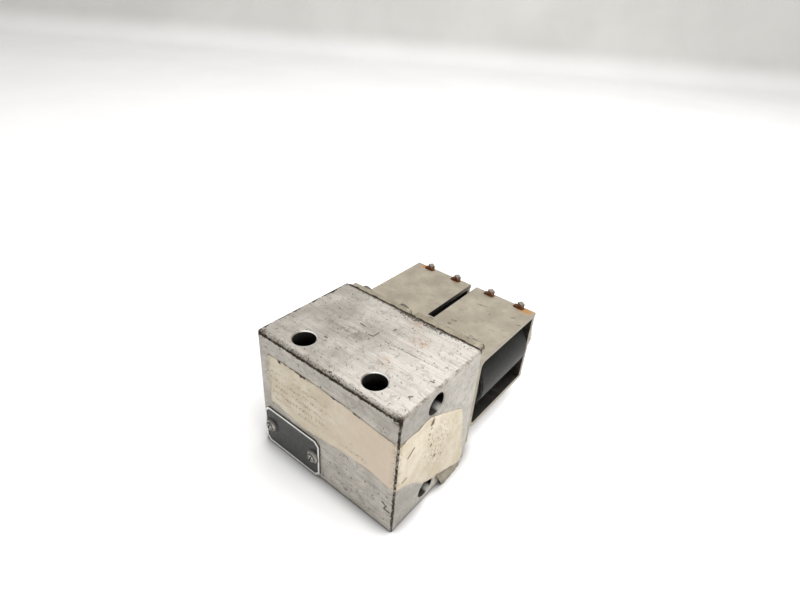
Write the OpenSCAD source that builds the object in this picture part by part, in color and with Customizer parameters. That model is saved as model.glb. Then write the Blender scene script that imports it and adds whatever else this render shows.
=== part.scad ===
// Twin solenoid directional valve.
// A ported steel block carries two spool valves side by side. Each spool is pushed
// by its own solenoid, and one bent steel yoke behind the block holds both coils.
// Frame: origin at the centre of the block's bottom face, X to the right along the
// front, Y from the front face towards the solenoids, Z up. Millimetres.

/* [Block] */
// Width of the valve block, left to right
block_w = 80; // [78:1:84]
// Depth of the valve block, front to back
block_d = 56; // [56:1:60]
// Height of the valve block
block_h = 66; // [66:1:70]
// Chamfer along the front top edge
front_chamfer = 1.6; // [0.8:0.1:3]
// Chamfer along the other edges
edge_chamfer = 0.6; // [0.3:0.1:1]

/* [Valve axes] */
// Distance between the two spool axes
axis_pitch = 40; // [39:0.5:42]
// Sideways offset of the pair of axes from the middle of the block
axis_shift = -0.8; // [-1:0.1:1]
// Travel of spool, pin and plunger
stroke = 3; // [2.5:0.1:3.2]

/* [Ports] */
// Bore of every port
port_d = 10.4; // [8.8:0.1:11.4]
// Depth of the outlet ports in the top face
outlet_depth = 16; // [12:1:18]
// Outlet ports, front to back
outlet_y = -18.3; // [-19:0.1:-18]
// Depth of the gallery ports in the right face
gallery_depth = 15; // [12:1:16]
// Galleries, front to back
gallery_y = -4.3; // [-5:0.1:-3]
// Depth of the upper gallery's axis below the top face
upper_inset = 8.7; // [8.2:0.1:9.2]
// Height of the lower gallery's axis above the bottom face
lower_inset = 7; // [7:0.1:7.8]
// Long drilling behind each gallery port
gallery_d = 7; // [5:0.5:7.5]

/* [Base] */
// Spacing of the tapped base holes, left to right
base_x = 60; // [56:1:64]
// Spacing of the tapped base holes, front to back
base_y = 30; // [28:1:32]
// Bore of the tapped base holes
base_d = 5; // [4.2:0.1:5.4]

/* [Solenoids] */
// Width of one solenoid across its end plate
cell_w = 36.4; // [35:0.1:38]
// Height of the yoke
yoke_h = 43; // [43:0.5:45]
// Sheet thickness of the yoke
yoke_t = 2.2; // [1.8:0.1:2.2]
// Outer radius of the yoke's bends
bend_r = 5; // [4:0.5:7]
// Thickness of the flange plates
flange_t = 5.5; // [4.5:0.1:6]
// Outer radius of the moulded coil
coil_r = 19; // [18:0.1:19.1]
// Radius of the coil nut
nut_r = 16.2; // [14:0.1:17]

/* [Hidden] */
$fn = 64;
eps = 0.01;

// Axes and block faces
left_x = axis_shift - axis_pitch / 2;
right_x = axis_shift + axis_pitch / 2;
axes_x = [left_x, right_x];
axis_z = block_h / 2;
front_y = -block_d / 2;
back_y = block_d / 2;
side_x = block_w / 2;
upper_z = block_h - upper_inset;
lower_z = lower_inset;
mouth_chamfer = 0.5;

// Stations along the valve axes, from front to back
chamber_y = front_y + 5;
spool_front = chamber_y + 11;
supply_y = 4;
return_y = 10;
seat_y = back_y - 6;
yoke_y = back_y + flange_t;
wall_y = yoke_y + yoke_t;
coil_y = wall_y + 3.9;
pole_end = 58;
plunger_y = pole_end + stroke + 0.2;
plunger_end = plunger_y + 24.8;
plate_y = 85.7;
plate_t = 3;
plate_end = plate_y + plate_t;
yoke_end = plate_end + 0.5;
tube_stop = 92;
tube_end = 97;
nut_end = 98;
button_end = 99;

// Spool valve
bore_r = 5;
spool_r = 4.95;
groove_r = 6.5;
groove_w = 3;
neck_y = [7.1, 10.4];
neck_r = 3.4;
passage_r = 2.1;
seat_r = 9;
link_r = 2;
plug_r = 5;
plug_t = 3.5;
mouth_t = 5;
spring_r = 3.4;
wire_r = 0.4;
coils = 5;

// Solenoid inner parts: bore radii, each with the part that slides in it
tube_r = 8;
tube_in_r = 7;
clear_r = 8.1;
plunger_r = 6.93;
pin_r = 1.5;
pin_bore_r = 1.56;
button_r = 2.5;
button_bore_r = 2.56;
button_head_r = 4;
seal_r = 0.5;

// Coil
bobbin_r = 9.7;
bobbin_flange_r = 17.5;
winding_r = 16.4;
coil_end = plate_y - 0.1;
bobbin_end = coil_end - 2.5;
cheek_t = 1.6;

// Yoke and end plates
yoke_x0 = left_x - cell_w / 2;
yoke_x1 = right_x + cell_w / 2;
yoke_z0 = axis_z - yoke_h / 2;
yoke_z1 = axis_z + yoke_h / 2;
slot_y = 48.2;
tab_dx = 9;
tab_w = 5;
tab_t = 2.2;
tab_root_h = 1;
tab_tip = [2.9, 2.5, 2.2];
tab_tip_dx = 1;
tab_twist = 35;
tab_y = plate_y + plate_t / 2;

// Flange plates: middle and bottom edge of each, and their screws
flange_w = 37.8;
flange_h = 64.4;
flange_corner = 3.2;
flange_chamfer = 1.1;
flange_cx = [left_x - 0.3, right_x];
flange_z0 = [0.4, 1.3];
screw_dx = 12;
screw_dz = 26.4;
screw_r = 2;
screw_bore_r = 2.02;
screw_len = 14;
head_r = 4;
head_t = 3.1;

// Nameplate and its screws
name_c = [-20.4, 12.2];
name_size = [36.4, 22.2];
name_t = 0.6;
rim_w = 0.9;
rim_t = 0.25;
clip = 2.4;
name_screw_x = [-34.8, -6.2];
name_screw_r = 1.2;
name_screw_len = 5;
name_head_r = 3.5;
name_head_t = 2.2;

// Paper label: corners of its front part (x, z) and of its side part (y, z)
label_t = 0.2;
label_front = [[-33.7, 56.1], [-17, 56.3], [-0.8, 55.9], [15.3, 55], [30.8, 53.2],
  [side_x, 52.7], [side_x, 27], [27, 29.1], [13, 28.7], [-2, 26.7], [-13, 25.8],
  [-26, 28], [-33.8, 28.6]];
label_side = [[front_y, 52.7], [-16.2, 51.9], [-8.6, 53], [-1, 49.4], [16.9, 39.9],
  [21.3, 23], [24.2, 7.2], [24, 0.6], [21.5, 0.6], [12.6, 3.2], [2, 8.1], [-9.4, 13.8],
  [-14.4, 19.3], [-21.8, 24.4], [front_y, 27]];

// Terminal block below each coil, with three blades for a push-on socket
term_w = 14;
term_y0 = 58;
term_y1 = 74;
term_z = 4.5;
blade_dx = 4;
blade_t = 0.8;
blade_h = 4.6;
blade_z = 5.4;
blade_out = 7;
blade_in = 6;

// A cylinder along Y
module ycyl(r, y0, y1) {
  translate([0, y0, 0]) rotate([-90, 0, 0]) cylinder(r = r, h = y1 - y0);
}

// A cone along Y
module ycone(r0, r1, y0, y1) {
  translate([0, y0, 0]) rotate([-90, 0, 0]) cylinder(r1 = r0, r2 = r1, h = y1 - y0);
}

// A tube along Y
module ytube(r, r_in, y0, y1) {
  difference() {
    ycyl(r, y0, y1);
    ycyl(r_in, y0 - 1, y1 + 1);
  }
}

// A box between two opposite corners
module span(a, b) {
  translate(a) cube(b - a);
}

// A straight drilling in the YZ plane between two points
module drilling(a, b, r) {
  translate(a) rotate([-atan2(b.y - a.y, b.z - a.z), 0, 0]) cylinder(r = r, h = norm(b - a));
}

// A rectangle with chamfered corners, centred
module clipped_rect(w, h, c) {
  x = w / 2;
  z = h / 2;
  polygon([[c - x, -z], [x - c, -z], [x, c - z], [x, z - c], [x - c, z], [c - x, z],
    [-x, z - c], [-x, c - z]]);
}

// A rectangle with round corners, centred
module round_rect(w, h, r) {
  square([w, h - 2 * r], center = true);
  square([w - 2 * r, h], center = true);
  for (x = [-1, 1], z = [-1, 1])
    translate([x * (w / 2 - r), z * (h / 2 - r)]) circle(r = r);
}

// Extrudes a drawing in X and Z along Y, from y0 to y1
module plate_xz(y0, y1) {
  translate([0, y1, 0]) rotate([90, 0, 0]) linear_extrude(y1 - y0) children();
}

// Extrudes a drawing in Y and Z along X, from x0 to x1
module plate_yz(x0, x1) {
  translate([x0, 0, 0]) rotate([90, 0, 90]) linear_extrude(x1 - x0) children();
}

// Places children at the four screws of one flange plate
module at_flange_screws(x) {
  for (dx = [-screw_dx, screw_dx], dz = [-screw_dz, screw_dz])
    translate([x + dx, 0, axis_z + dz]) children();
}

// Valve body -----------------------------------------------------------------

// The plain block with broken edges: side, front and top outlines crossed
module block_blank() {
  c = edge_chamfer;
  f = front_chamfer;
  intersection() {
    plate_yz(-side_x, side_x)
      polygon([[front_y + c, 0], [back_y - c, 0], [back_y, c], [back_y, block_h - c],
        [back_y - c, block_h], [front_y + f, block_h], [front_y, block_h - f], [front_y, c]]);
    translate([0, 0, block_h / 2]) plate_xz(front_y, back_y) clipped_rect(block_w, block_h, c);
    linear_extrude(block_h) clipped_rect(block_w, block_d, c);
  }
}

// Outlet port in the top face, down to the spring chamber
module outlet_port() {
  r = port_d / 2;
  c = mouth_chamfer;
  translate([0, outlet_y, block_h - outlet_depth]) cylinder(r = r, h = outlet_depth + 1);
  translate([0, outlet_y, block_h - c]) cylinder(r1 = r, r2 = r + c + eps, h = c + eps);
  translate([0, outlet_y, axis_z]) cylinder(r = 2.7, h = axis_z - outlet_depth + 1);
}

// Gallery port in the right face, with a drilling that reaches the left valve
module gallery_port(z) {
  r = port_d / 2;
  c = mouth_chamfer;
  translate([side_x, gallery_y, z]) rotate([0, -90, 0]) {
    translate([0, 0, -1]) cylinder(r = r, h = gallery_depth + 1);
    translate([0, 0, -eps]) cylinder(r1 = r + c + eps, r2 = r, h = c + eps);
    cylinder(d = gallery_d, h = side_x - left_x + gallery_d / 2);
  }
}

// Drillings from a mouth in the back face: one to the gallery, one to a spool groove
module gallery_link(z, groove_y, groove_z) {
  start = back_y - mouth_t;
  translate([0, 0, z]) {
    ycyl(plug_r, start, back_y + 1);
    ycyl(link_r, gallery_y, start + eps);
  }
  drilling([0, start + 2, z], [0, groove_y, groove_z], link_r);
}

// Spool bore with its two grooves and the seat of the core tube
module spool_bore() {
  translate([0, 0, axis_z]) {
    ycyl(bore_r, chamber_y, back_y);
    ycyl(seat_r, seat_y, back_y + 1);
    for (y = [supply_y, return_y]) ycyl(groove_r, y - groove_w / 2, y + groove_w / 2);
  }
}

module valve_body() {
  color([0.76, 0.73, 0.69]) difference() {
    block_blank();
    for (x = axes_x) {
      translate([x, 0, 0]) {
        spool_bore();
        outlet_port();
        gallery_link(upper_z, supply_y, axis_z + 3);
        gallery_link(lower_z, return_y, axis_z - 3);
      }
      at_flange_screws(x) ycyl(screw_bore_r, yoke_y - screw_len - 1, back_y + 1);
    }
    gallery_port(upper_z);
    gallery_port(lower_z);
    for (x = name_screw_x) translate([x, 0, name_c.y])
      ycyl(name_screw_r + 0.02, front_y - 1, front_y + name_screw_len);
    for (x = [-base_x, base_x], y = [-base_y, base_y])
      translate([x / 2, y / 2 - 2, -1]) cylinder(d = base_d, h = 11);
  }
}

module gallery_plugs() {
  color([0.62, 0.6, 0.56])
    for (x = axes_x, z = [lower_z, upper_z])
      translate([x, 0, z]) ycyl(plug_r, back_y - plug_t, back_y);
}

// Nameplate, label ----------------------------------------------------------

// Etched plate with a raised rim, which is cut away where the screw heads sit
module nameplate() {
  w = name_size.x;
  h = name_size.y;
  rim = 2 * rim_w;
  color([0.3, 0.3, 0.29]) difference() {
    translate([name_c.x, 0, name_c.y]) {
      plate_xz(front_y - name_t, front_y) clipped_rect(w, h, clip);
      plate_xz(front_y - name_t - rim_t, front_y) difference() {
        clipped_rect(w, h, clip);
        clipped_rect(w - rim, h - rim, clip - 0.3);
      }
    }
    for (x = name_screw_x) translate([x, 0, name_c.y]) {
      ycyl(name_screw_r + 0.2, front_y - 2, front_y + 1);
      ycyl(name_head_r + 0.1, front_y - 2, front_y - name_t);
    }
  }
}

// Domed head with a crossed recess and a plain shank
module nameplate_screws() {
  face = front_y - name_t;
  dome_r = (name_head_r * name_head_r + name_head_t * name_head_t) / (2 * name_head_t);
  color([0.8, 0.78, 0.75])
    for (x = name_screw_x) translate([x, 0, name_c.y]) {
      ycyl(name_screw_r, face - eps, front_y + name_screw_len - 0.5);
      difference() {
        intersection() {
          ycyl(name_head_r, face - name_head_t, face);
          translate([0, face - name_head_t + dome_r, 0]) sphere(r = dome_r);
        }
        for (a = [20, 110]) rotate([0, a, 0])
          span([-1.7, face - name_head_t - 1, -0.35], [1.7, face - name_head_t + 1, 0.35]);
      }
    }
}

// Paper label round the front right edge, cut clear of the port mouths
module rating_label() {
  color([0.88, 0.85, 0.79]) difference() {
    union() {
      plate_xz(front_y - label_t, front_y) polygon(label_front);
      plate_yz(side_x, side_x + label_t) polygon(label_side);
      span([side_x - eps, front_y - label_t, 27], [side_x + label_t, front_y + eps, 52.7]);
    }
    for (z = [lower_z, upper_z]) translate([side_x - 1, gallery_y, z])
      rotate([0, 90, 0]) cylinder(r = port_d / 2 + mouth_chamfer + 0.1, h = 3);
  }
}

// Flange plates ---------------------------------------------------------------

// Plate with round corners; its rear edges are broken along the top and bottom
module flange(i) {
  z0 = flange_z0[i] - 1;
  z1 = flange_z0[i] + flange_h + 1;
  y1 = yoke_y + 1;
  c = flange_chamfer + 2;
  color([0.66, 0.64, 0.6]) difference() {
    intersection() {
      translate([flange_cx[i], 0, (z0 + z1) / 2])
        plate_xz(back_y, yoke_y) round_rect(flange_w, flange_h, flange_corner);
      plate_yz(-side_x - 1, side_x + 1)
        polygon([[back_y - 1, z0], [y1 - c, z0], [y1, z0 + c], [y1, z1 - c], [y1 - c, z1], [back_y - 1, z1]]);
    }
    translate([axes_x[i], 0, axis_z]) ycyl(clear_r, back_y - 1, yoke_y + 1);
    at_flange_screws(axes_x[i]) ycyl(screw_r + 0.25, back_y - 1, yoke_y + 1);
  }
}

module flange_left() flange(0);
module flange_right() flange(1);

// Pan head screws with a crossed recess
module flange_screws() {
  c = 0.7;
  color([0.72, 0.7, 0.66])
    for (x = axes_x) at_flange_screws(x) {
      ycyl(screw_r, yoke_y - screw_len, yoke_y + eps);
      difference() {
        union() {
          ycyl(head_r, yoke_y, yoke_y + head_t - c);
          ycone(head_r, head_r - c, yoke_y + head_t - c, yoke_y + head_t);
        }
        for (a = [15, 105]) rotate([0, a, 0])
          span([-2, yoke_y + 1.4, -0.4], [2, yoke_y + head_t + 1, 0.4]);
      }
    }
}

// Yoke and end plates --------------------------------------------------------

// Side outline of the bent sheet, open at the rear; inset moves it inwards
module yoke_outline(inset) {
  r = bend_r - inset;
  y0 = yoke_y + inset;
  z0 = yoke_z0 + inset;
  z1 = yoke_z1 - inset;
  y1 = yoke_end + (inset > 0 ? 1 : 0);
  translate([y0, z0 + r]) square([y1 - y0, z1 - z0 - 2 * r]);
  translate([y0 + r, z0]) square([y1 - y0 - r, z1 - z0]);
  for (z = [z0 + r, z1 - r]) translate([y0 + r, z]) circle(r = r);
}

// One sheet for both solenoids: front wall, top and bottom, slit between the coils
module solenoid_yoke() {
  tab_clear = 0.2;
  tw = tab_w / 2 + tab_clear;
  tt = tab_t / 2 + tab_clear;
  window = 0.3;
  color([0.7, 0.67, 0.6]) difference() {
    plate_yz(yoke_x0, yoke_x1) difference() {
      yoke_outline(0);
      yoke_outline(yoke_t);
    }
    span([left_x + cell_w / 2, slot_y, yoke_z0 - 1], [right_x - cell_w / 2, yoke_end + 1, yoke_z1 + 1]);
    for (x = axes_x) {
      translate([x, 0, axis_z]) ycyl(clear_r, yoke_y - 1, wall_y + 1);
      for (dx = [-tab_dx, tab_dx])
        span([x + dx - tw, tab_y - tt, yoke_z0 - 1], [x + dx + tw, tab_y + tt, yoke_z1 + 1]);
      span([x - term_w / 2 - window, term_y0 - window, yoke_z0 - 1],
        [x + term_w / 2 + window, term_y1 + window, axis_z - coil_r / 2]);
    }
  }
}

// End plate with two tabs above and two below; each tip is twisted outside the yoke
module rear_plate(x) {
  half = yoke_h / 2 - yoke_t;
  root = yoke_t + tab_root_h;
  color([0.6, 0.56, 0.5]) {
    difference() {
      translate([x, 0, axis_z]) plate_xz(plate_y, plate_end) square([cell_w, 2 * half], center = true);
      translate([x, 0, axis_z]) ycyl(clear_r, plate_y - 1, plate_end + 1);
    }
    for (dx = [-tab_dx, tab_dx], flip = [0, 180])
      translate([x + dx, tab_y, axis_z]) rotate([flip, 0, 0]) {
        translate([-tab_w / 2, -tab_t / 2, half - 1]) cube([tab_w, tab_t, root + 1]);
        translate([tab_tip_dx, 0, half + root - eps])
          linear_extrude(height = tab_tip.z, twist = tab_twist, slices = 6, $fn = 4)
            square([tab_tip.x, tab_tip.y], center = true);
      }
  }
}

module rear_plate_left() rear_plate(left_x);
module rear_plate_right() rear_plate(right_x);

// Coils -----------------------------------------------------------------------

// Moulded cover, open at the front where the bobbin's flange closes it
module coil(x) {
  c = 1;
  color([0.14, 0.14, 0.13]) translate([x, 0, axis_z]) difference() {
    union() {
      ycone(coil_r - c, coil_r, coil_y, coil_y + c);
      ycyl(coil_r, coil_y + c, coil_end - c);
      ycone(coil_r, coil_r - c, coil_end - c, coil_end);
    }
    ycyl(winding_r + 0.05, coil_y - 1, bobbin_end);
    ycyl(bobbin_r + 0.02, coil_y, coil_end + 1);
  }
}

module winding(x) {
  color([0.72, 0.42, 0.2]) translate([x, 0, axis_z])
    ytube(winding_r, bobbin_r + 0.02, coil_y, bobbin_end - cheek_t - 0.1);
}

module bobbin(x) {
  color([0.2, 0.19, 0.17]) translate([x, 0, axis_z]) {
    ytube(bobbin_r, clear_r, wall_y, coil_end);
    ytube(bobbin_flange_r, clear_r, wall_y + 0.3, coil_y - 0.05);
    ytube(winding_r, clear_r, bobbin_end - cheek_t, bobbin_end);
  }
}

module coil_left() coil(left_x);
module coil_right() coil(right_x);
module winding_left() winding(left_x);
module winding_right() winding(right_x);
module bobbin_left() bobbin(left_x);
module bobbin_right() bobbin(right_x);

// Three blades of one socket; grow widens them into their pockets
module blades(x, grow) {
  t = blade_t / 2 + grow;
  for (dx = [-blade_dx, 0, blade_dx])
    span([x + dx - t, term_y1 - blade_in - grow, blade_z - grow],
      [x + dx + t, term_y1 + blade_out, blade_z + blade_h + grow]);
}

// Block moulded under the coil, out through the yoke's lower window
module terminal_block(x) {
  color([0.16, 0.16, 0.15]) difference() {
    span([x - term_w / 2, term_y0, term_z], [x + term_w / 2, term_y1, axis_z - coil_r / 2]);
    translate([x, 0, axis_z]) ycyl(coil_r + 0.01, term_y0 - 1, term_y1 + 1);
    blades(x, 0.02);
  }
}

module terminal_block_left() terminal_block(left_x);
module terminal_block_right() terminal_block(right_x);

module terminal_blades() {
  hole_z = blade_z + blade_h / 2;
  color([0.8, 0.74, 0.55])
    for (x = axes_x) difference() {
      blades(x, 0);
      translate([x - term_w, term_y1 + blade_out - 2.2, hole_z]) rotate([0, 90, 0])
        cylinder(r = 0.8, h = 2 * term_w);
    }
}

// Core tube and what it holds -------------------------------------------------

// Tube with a sealing flange in the block and a drilled rear end for the button
module core_tube(x) {
  groove = seal_r + 0.1;
  color([0.75, 0.74, 0.72]) translate([x, 0, axis_z]) difference() {
    union() {
      ycyl(seat_r - 0.05, seat_y, back_y);
      ycyl(tube_r, back_y - 1, tube_end);
    }
    ycyl(tube_in_r, seat_y - 1, tube_stop);
    ycyl(button_bore_r, tube_stop - 1, tube_end + 1);
    ytube(seat_r + 1, seat_r - 0.05 - 2 * seal_r, seat_y + 3 - groove, seat_y + 3 + groove);
  }
}

module tube_seals() {
  color([0.12, 0.12, 0.12])
    for (x = axes_x) translate([x, seat_y + 3, axis_z]) rotate([90, 0, 0])
      rotate_extrude() translate([seat_r - 0.05 - seal_r, 0]) circle(r = seal_r);
}

module pole_piece(x) {
  color([0.6, 0.6, 0.6]) translate([x, 0, axis_z]) ytube(tube_in_r, pin_bore_r, seat_y, pole_end);
}

// Coil nut with a fluted edge
module ring_nut(x) {
  c = 0.8;
  flutes = 30;
  color([0.64, 0.62, 0.58]) translate([x, 0, axis_z]) difference() {
    union() {
      ycone(nut_r - c, nut_r, plate_end, plate_end + c);
      ycyl(nut_r, plate_end + c, nut_end - c);
      ycone(nut_r, nut_r - c, nut_end - c, nut_end);
    }
    ycyl(tube_r + 0.02, plate_end - 1, nut_end + 1);
    ycone(tube_r, tube_r + 1, nut_end - 1, nut_end + eps);
    for (a = [0 : 360 / flutes : 359]) rotate([0, a, 0])
      translate([nut_r + 0.5, 0, 0]) ycyl(0.9, plate_end - 1, nut_end + 1);
  }
}

// Plunger with two oil slots along it
module plunger(x) {
  color([0.66, 0.66, 0.65]) translate([x, 0, axis_z]) difference() {
    ycyl(plunger_r, plunger_y, plunger_end);
    for (side = [-1, 1]) translate([side * plunger_r, 0, 0])
      span([-1, plunger_y - 1, -0.8], [1, plunger_end + 1, 0.8]);
  }
}

module push_pin(x) {
  color([0.8, 0.8, 0.8]) translate([x, 0, axis_z]) ycyl(pin_r, seat_y, plunger_y);
}

// Spool: drilled from the front, with one neck that joins a groove to the chamber
module spool(x) {
  color([0.78, 0.77, 0.75]) translate([x, 0, axis_z]) difference() {
    ycyl(spool_r, spool_front, seat_y);
    ytube(spool_r + 1, neck_r, neck_y[0], neck_y[1]);
    ycyl(passage_r, spool_front - 1, neck_y[1] - 0.3);
    for (a = [0, 90]) rotate([0, a, 0]) translate([-spool_r, (neck_y[0] + neck_y[1]) / 2, 0])
      rotate([0, 90, 0]) cylinder(r = 1.2, h = 2 * spool_r);
    for (y = [-7, -2, 15]) ytube(spool_r + 1, spool_r - 0.3, y, y + 0.5);
  }
}

// Section of a close-wound wire across the coil axis: a band that tapers at both ends
function wire_band(side, n) = [for (i = [0 : n])
  let (t = 2 * i / n - 1, pitch = (spool_front - chamber_y) / coils,
    a = side * t * 360 * wire_r / pitch,
    r = spring_r + side * wire_r * sqrt(max(0, 1 - t * t)))
  [r * cos(a), r * sin(a)]];

module return_spring(x) {
  steps = 6;
  inner = wire_band(-1, steps);
  outer = wire_band(1, steps);
  section = concat(outer, [for (i = [1 : steps - 1]) inner[i]]);
  color([0.7, 0.7, 0.72]) translate([x, spool_front, axis_z]) rotate([90, 0, 0])
    linear_extrude(height = spool_front - chamber_y, twist = -360 * coils, slices = 12 * coils, $fn = 12)
      polygon(section);
}

// Override button: its head stays inside the tube's end
module override_button(x) {
  head_t = 2;
  color([0.75, 0.73, 0.7]) translate([x, 0, axis_z]) {
    ycyl(button_r, plunger_end, button_end - 0.5);
    ycyl(button_head_r, tube_stop - head_t, tube_stop);
    ycone(button_r, button_r - 0.5, button_end - 0.5, button_end);
  }
}

module core_tube_left() core_tube(left_x);
module core_tube_right() core_tube(right_x);
module pole_piece_left() pole_piece(left_x);
module pole_piece_right() pole_piece(right_x);
module ring_nut_left() ring_nut(left_x);
module ring_nut_right() ring_nut(right_x);
module plunger_left() plunger(left_x);
module plunger_right() plunger(right_x);
module push_pin_left() push_pin(left_x);
module push_pin_right() push_pin(right_x);
module spool_left() spool(left_x);
module spool_right() spool(right_x);
module return_spring_left() return_spring(left_x);
module return_spring_right() return_spring(right_x);
module override_button_left() override_button(left_x);
module override_button_right() override_button(right_x);

valve_body();
gallery_plugs();
nameplate();
nameplate_screws();
rating_label();
flange_left();
flange_right();
flange_screws();
solenoid_yoke();
rear_plate_left();
rear_plate_right();
coil_left();
coil_right();
winding_left();
winding_right();
bobbin_left();
bobbin_right();
terminal_block_left();
terminal_block_right();
terminal_blades();
core_tube_left();
core_tube_right();
pole_piece_left();
pole_piece_right();
tube_seals();
ring_nut_left();
ring_nut_right();
plunger_left();
plunger_right();
push_pin_left();
push_pin_right();
spool_left();
spool_right();
return_spring_left();
return_spring_right();
override_button_left();
override_button_right();
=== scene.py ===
"""Looks of the twin solenoid directional valve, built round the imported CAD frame."""

import math
import random

import bmesh
import bpy
from mathutils import Matrix, Vector
from mathutils.geometry import delaunay_2d_cdt


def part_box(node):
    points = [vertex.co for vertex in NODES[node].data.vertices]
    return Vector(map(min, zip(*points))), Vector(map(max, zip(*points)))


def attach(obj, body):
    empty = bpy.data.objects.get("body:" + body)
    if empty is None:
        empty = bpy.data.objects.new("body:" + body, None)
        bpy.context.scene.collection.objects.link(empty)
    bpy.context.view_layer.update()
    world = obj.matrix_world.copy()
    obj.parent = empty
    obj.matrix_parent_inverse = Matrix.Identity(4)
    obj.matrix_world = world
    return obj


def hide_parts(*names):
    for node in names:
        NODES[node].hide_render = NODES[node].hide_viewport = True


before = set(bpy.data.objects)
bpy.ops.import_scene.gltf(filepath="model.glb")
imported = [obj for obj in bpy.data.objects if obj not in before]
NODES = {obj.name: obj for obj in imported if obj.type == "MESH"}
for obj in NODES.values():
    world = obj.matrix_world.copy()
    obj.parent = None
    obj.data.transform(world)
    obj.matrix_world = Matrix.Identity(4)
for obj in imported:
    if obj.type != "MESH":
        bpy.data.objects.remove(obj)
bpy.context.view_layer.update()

# ---------------------------------------------------------------- places, in mm
MM = 0.001


def box_mm(node):
    """Lowest and highest corner of a CAD node in millimetres."""
    lo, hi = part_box(node)
    return lo / MM, hi / MM


BLOCK_LO, BLOCK_HI = box_mm("valve_body")
FLANGE_HI = box_mm("flange_right")[1]
YOKE_LO, YOKE_HI = box_mm("solenoid_yoke")
SIDE_X = BLOCK_HI.x
FRONT_Y = BLOCK_LO.y
BACK_Y = BLOCK_HI.y
TOP_Z = BLOCK_HI.z
AXES_X = [sum((c.x for c in box_mm(n)), 0) / 2 for n in ("coil_left", "coil_right")]
AXIS_Z = (YOKE_LO.z + YOKE_HI.z) / 2
TAB_DX = 9.0
TAB_Y = sum((c.y for c in box_mm("rear_plate_left")), 0) / 2
TAB_TOP_Z = box_mm("rear_plate_left")[1].z
SLIT_Y = 48.2
OUTLET_Y = -18.3
SIDE_PORT_Y = -4.3
SIDE_PORTS_Z = (7.0, 57.3)
CHAMFER = 1.6
PORT_R = 5.2
NAME_HEAD_R = 3.5
FLANGE_HEAD_R = 4.0
FLANGE_SCREW_DX = 12.0
# Brown stains on the label's side part: place along Y and Z, and size
STAINS = ((-5.8, 48.8, 1.7), (-6.4, 45.6, 0.8), (-7.0, 42.8, 0.7), (-7.4, 40.0, 0.5), (-4.8, 34.7, 0.9),
          (-1.0, 25.3, 0.8), (2.6, 24.0, 0.6), (4.4, 22.0, 0.5), (7.6, 15.9, 0.4), (14.5, 32.8, 0.5),
          (8.4, 30.0, 0.4), (17.6, 44.6, 0.5))


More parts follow.
